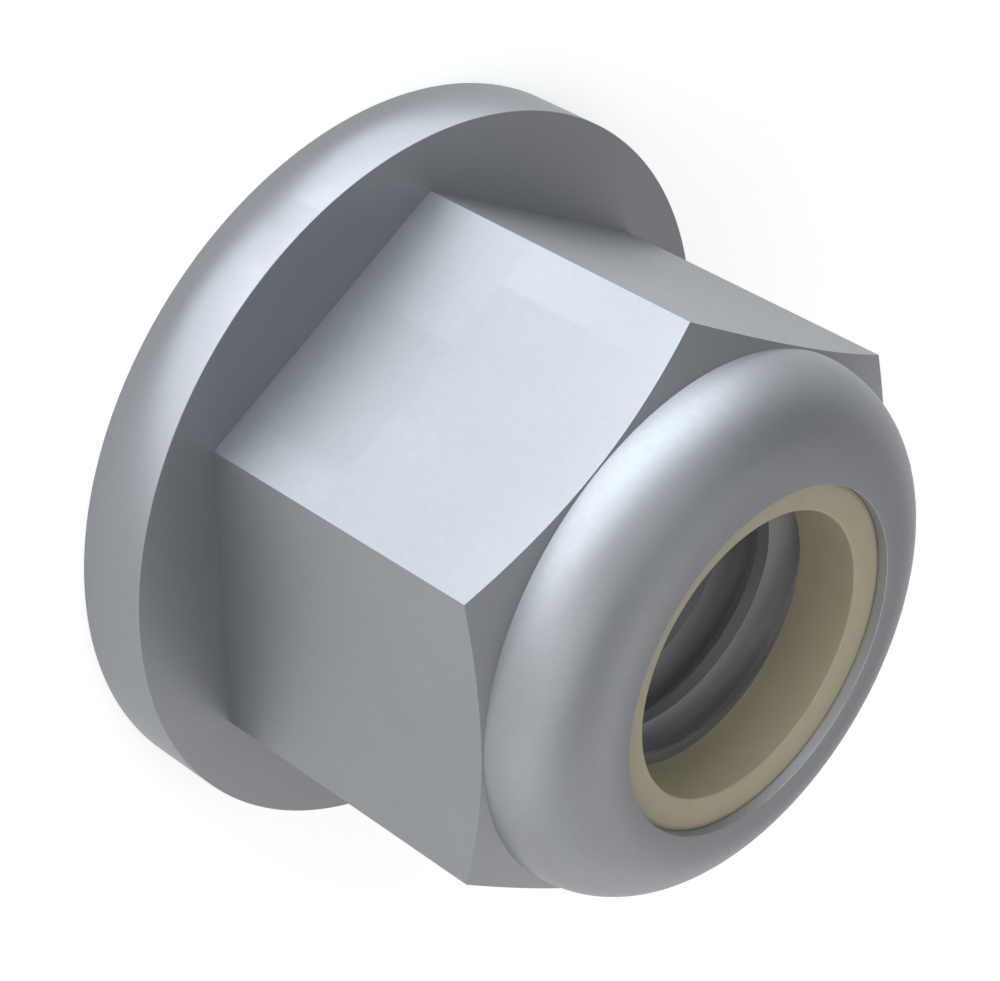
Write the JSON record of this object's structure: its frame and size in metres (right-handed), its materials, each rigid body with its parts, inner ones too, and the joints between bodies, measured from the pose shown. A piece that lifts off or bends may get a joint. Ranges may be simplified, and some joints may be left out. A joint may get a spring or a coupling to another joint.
{
  "type": "flange lock nut",
  "caption": "Hexagon lock nut with a round flange, a domed collar crimped over a nylon locking ring, and a threaded bore right through.",
  "frame": {"origin": "centre of the flange's bearing face, on the thread axis", "axes": "+Z along the thread axis, from the flange towards the locking ring; two corners of the hexagon lie on the X axis, so two flats face +Y and -Y"},
  "size_m": [0.0136, 0.0136, 0.0092],
  "materials": {
    "zinc_plated_steel": "bright zinc plate, satin",
    "polyamide": "natural, moulded"
  },
  "bodies": {
    "root": {"nut_body": "zinc_plated_steel", "locking_ring": "polyamide"}
  },
  "joints": []
}
